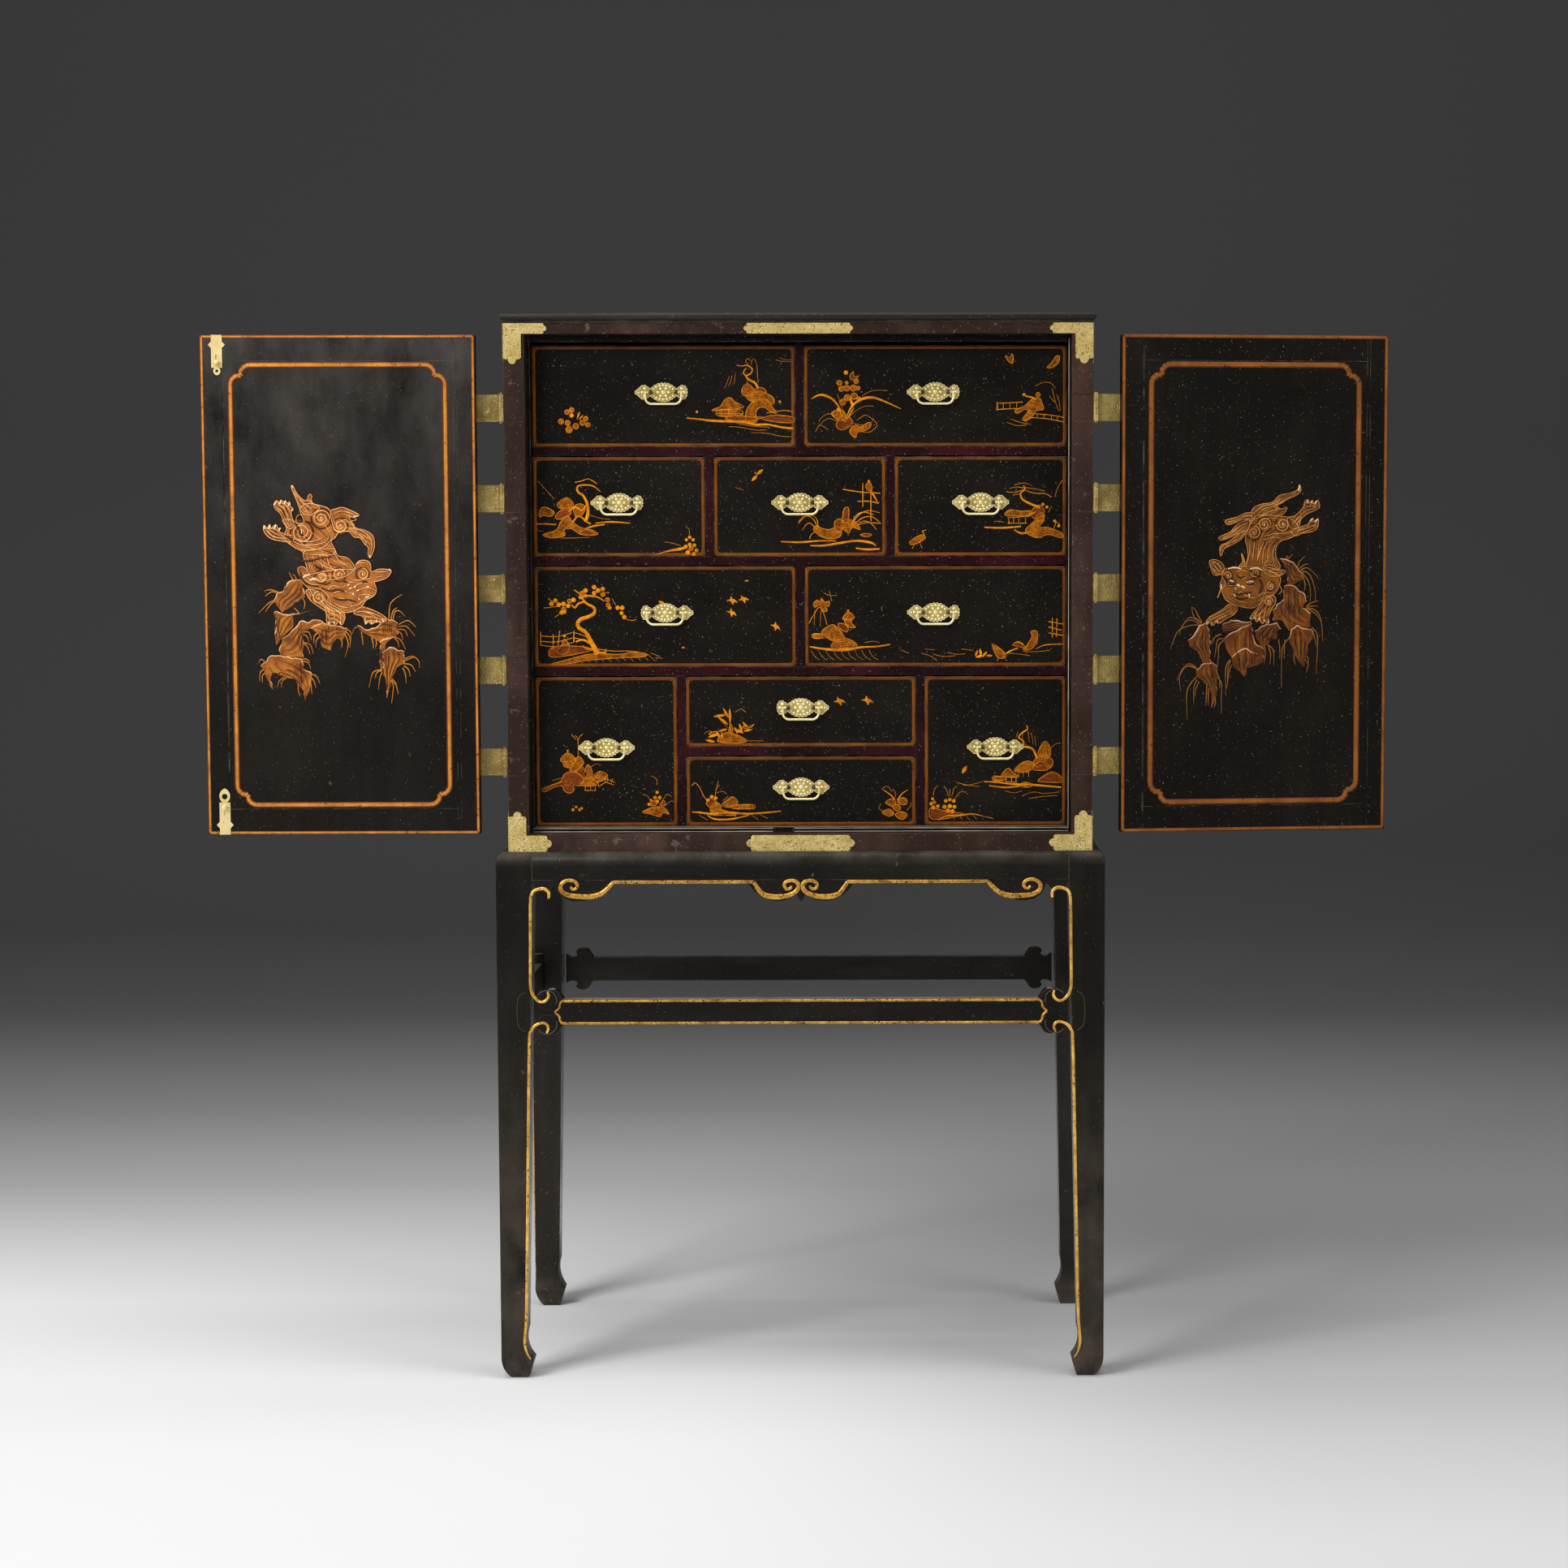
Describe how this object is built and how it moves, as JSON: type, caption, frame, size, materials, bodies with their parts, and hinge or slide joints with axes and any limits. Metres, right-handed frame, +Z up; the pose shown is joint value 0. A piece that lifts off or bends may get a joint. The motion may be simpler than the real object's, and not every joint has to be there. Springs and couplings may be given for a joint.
{
  "type": "cabinet on stand",
  "caption": "Lacquered cabinet with two hinged doors over rows of drawers with drop handles, on an open stand with carved aprons, stretchers and inward-curled feet.",
  "frame": {"origin": "on the floor under the middle of the stand", "axes": "+Z up, +X to the right seen from the front, the front with the doors faces -Y"},
  "size_m": [1.7614, 0.5091, 1.6],
  "materials": {
    "ebonised_wood": "black stained and polished",
    "black_lacquer": "polished black lacquer with gold drawing",
    "worn_red_lacquer": "dark red lacquer, rubbed at the edges",
    "crimson_lacquer": "semi-gloss red lacquer",
    "plain_wood": "bare sawn wood",
    "brass": "engraved and polished"
  },
  "bodies": {
    "case": {"stand_leg_front_left": "ebonised_wood", "stand_leg_front_right": "ebonised_wood", "stand_leg_rear_left": "ebonised_wood", "stand_leg_rear_right": "ebonised_wood", "stand_frieze": "ebonised_wood", "stand_top_board": "ebonised_wood", "stand_stretchers": "ebonised_wood", "case_side_left": "black_lacquer", "case_side_right": "black_lacquer", "case_bottom_board": "black_lacquer", "case_top_board": "black_lacquer", "case_back_panel": "black_lacquer", "case_cornice": "black_lacquer", "case_lining": "worn_red_lacquer", "drawer_rails": "crimson_lacquer", "dust_boards": "plain_wood", "case_mounts": "brass", "case_hinge_leaves": "brass"},
    "door_left": {"door_left_panel": "black_lacquer", "door_left_hinge_leaves": "brass", "bolt_plates": "brass"},
    "bolt_top": {"bolt_top": "brass"},
    "bolt_bottom": {"bolt_bottom": "brass"},
    "door_right": {"door_right_panel": "black_lacquer", "door_right_hinge_leaves": "brass"},
    "drawer_01": {"drawer_01": "black_lacquer", "drawer_01_handle_plate": "brass"},
    "drawer_01_bail": {"drawer_01_bail": "brass"},
    "drawer_02": {"drawer_02": "black_lacquer", "drawer_02_handle_plate": "brass"},
    "drawer_02_bail": {"drawer_02_bail": "brass"},
    "drawer_03": {"drawer_03": "black_lacquer", "drawer_03_handle_plate": "brass"},
    "drawer_03_bail": {"drawer_03_bail": "brass"},
    "drawer_04": {"drawer_04": "black_lacquer", "drawer_04_handle_plate": "brass"},
    "drawer_04_bail": {"drawer_04_bail": "brass"},
    "drawer_05": {"drawer_05": "black_lacquer", "drawer_05_handle_plate": "brass"},
    "drawer_05_bail": {"drawer_05_bail": "brass"},
    "drawer_06": {"drawer_06": "black_lacquer", "drawer_06_handle_plate": "brass"},
    "drawer_06_bail": {"drawer_06_bail": "brass"},
    "drawer_07": {"drawer_07": "black_lacquer", "drawer_07_handle_plate": "brass"},
    "drawer_07_bail": {"drawer_07_bail": "brass"},
    "drawer_08": {"drawer_08": "black_lacquer", "drawer_08_handle_plate": "brass"},
    "drawer_08_bail": {"drawer_08_bail": "brass"},
    "drawer_09": {"drawer_09": "black_lacquer", "drawer_09_handle_plate": "brass"},
    "drawer_09_bail": {"drawer_09_bail": "brass"},
    "drawer_10": {"drawer_10": "black_lacquer", "drawer_10_handle_plate": "brass"},
    "drawer_10_bail": {"drawer_10_bail": "brass"},
    "drawer_11": {"drawer_11": "black_lacquer", "drawer_11_handle_plate": "brass"},
    "drawer_11_bail": {"drawer_11_bail": "brass"}
  },
  "joints": [
    {"name": "door_left_hinge", "type": "hinge", "parent": "case", "child": "door_left", "pos_m": [-0.4409, -0.2315, 1.19725], "axis": [0, 0, -1], "range_deg": [-180, 60]},
    {"name": "door_right_hinge", "type": "hinge", "parent": "case", "child": "door_right", "pos_m": [0.4409, -0.2315, 1.19725], "axis": [0, 0, 1], "range_deg": [-187, 53]},
    {"name": "bolt_top_slide", "type": "slide", "parent": "door_left", "child": "bolt_top", "axis": [0, 0, 1], "range_m": [0, 0.01]},
    {"name": "bolt_bottom_slide", "type": "slide", "parent": "door_left", "child": "bolt_bottom", "axis": [0, 0, -1], "range_m": [0, 0.01]},
    {"name": "drawer_01_slide", "type": "slide", "parent": "case", "child": "drawer_01", "axis": [0, -1, 0], "range_m": [0, 0.3]},
    {"name": "drawer_01_bail_hinge", "type": "hinge", "parent": "drawer_01", "child": "drawer_01_bail", "pos_m": [-0.203, -0.2005, 1.4844], "axis": [-1, 0, 0], "range_deg": [0, 90]},
    {"name": "drawer_02_slide", "type": "slide", "parent": "case", "child": "drawer_02", "axis": [0, -1, 0], "range_m": [0, 0.3]},
    {"name": "drawer_02_bail_hinge", "type": "hinge", "parent": "drawer_02", "child": "drawer_02_bail", "pos_m": [0.203, -0.2005, 1.4844], "axis": [-1, 0, 0], "range_deg": [0, 90]},
    {"name": "drawer_03_slide", "type": "slide", "parent": "case", "child": "drawer_03", "axis": [0, -1, 0], "range_m": [0, 0.3]},
    {"name": "drawer_03_bail_hinge", "type": "hinge", "parent": "drawer_03", "child": "drawer_03_bail", "pos_m": [-0.27067, -0.2005, 1.32015], "axis": [-1, 0, 0], "range_deg": [0, 90]},
    {"name": "drawer_04_slide", "type": "slide", "parent": "case", "child": "drawer_04", "axis": [0, -1, 0], "range_m": [0, 0.3]},
    {"name": "drawer_04_bail_hinge", "type": "hinge", "parent": "drawer_04", "child": "drawer_04_bail", "pos_m": [0, -0.2005, 1.32015], "axis": [-1, 0, 0], "range_deg": [0, 90]},
    {"name": "drawer_05_slide", "type": "slide", "parent": "case", "child": "drawer_05", "axis": [0, -1, 0], "range_m": [0, 0.3]},
    {"name": "drawer_05_bail_hinge", "type": "hinge", "parent": "drawer_05", "child": "drawer_05_bail", "pos_m": [0.27067, -0.2005, 1.32015], "axis": [-1, 0, 0], "range_deg": [0, 90]},
    {"name": "drawer_06_slide", "type": "slide", "parent": "case", "child": "drawer_06", "axis": [0, -1, 0], "range_m": [0, 0.3]},
    {"name": "drawer_06_bail_hinge", "type": "hinge", "parent": "drawer_06", "child": "drawer_06_bail", "pos_m": [-0.203, -0.2005, 1.15565], "axis": [-1, 0, 0], "range_deg": [0, 90]},
    {"name": "drawer_07_slide", "type": "slide", "parent": "case", "child": "drawer_07", "axis": [0, -1, 0], "range_m": [0, 0.3]},
    {"name": "drawer_07_bail_hinge", "type": "hinge", "parent": "drawer_07", "child": "drawer_07_bail", "pos_m": [0.203, -0.2005, 1.15565], "axis": [-1, 0, 0], "range_deg": [0, 90]},
    {"name": "drawer_08_slide", "type": "slide", "parent": "case", "child": "drawer_08", "axis": [0, -1, 0], "range_m": [0, 0.3]},
    {"name": "drawer_08_bail_hinge", "type": "hinge", "parent": "drawer_08", "child": "drawer_08_bail", "pos_m": [-0.29275, -0.2005, 0.9529], "axis": [-1, 0, 0], "range_deg": [0, 90]},
    {"name": "drawer_09_slide", "type": "slide", "parent": "case", "child": "drawer_09", "axis": [0, -1, 0], "range_m": [0, 0.3]},
    {"name": "drawer_09_bail_hinge", "type": "hinge", "parent": "drawer_09", "child": "drawer_09_bail", "pos_m": [0, -0.2005, 1.01265], "axis": [-1, 0, 0], "range_deg": [0, 90]},
    {"name": "drawer_10_slide", "type": "slide", "parent": "case", "child": "drawer_10", "axis": [0, -1, 0], "range_m": [0, 0.3]},
    {"name": "drawer_10_bail_hinge", "type": "hinge", "parent": "drawer_10", "child": "drawer_10_bail", "pos_m": [0, -0.2005, 0.89265], "axis": [-1, 0, 0], "range_deg": [0, 90]},
    {"name": "drawer_11_slide", "type": "slide", "parent": "case", "child": "drawer_11", "axis": [0, -1, 0], "range_m": [0, 0.3]},
    {"name": "drawer_11_bail_hinge", "type": "hinge", "parent": "drawer_11", "child": "drawer_11_bail", "pos_m": [0.29275, -0.2005, 0.9529], "axis": [-1, 0, 0], "range_deg": [0, 90]}
  ]
}
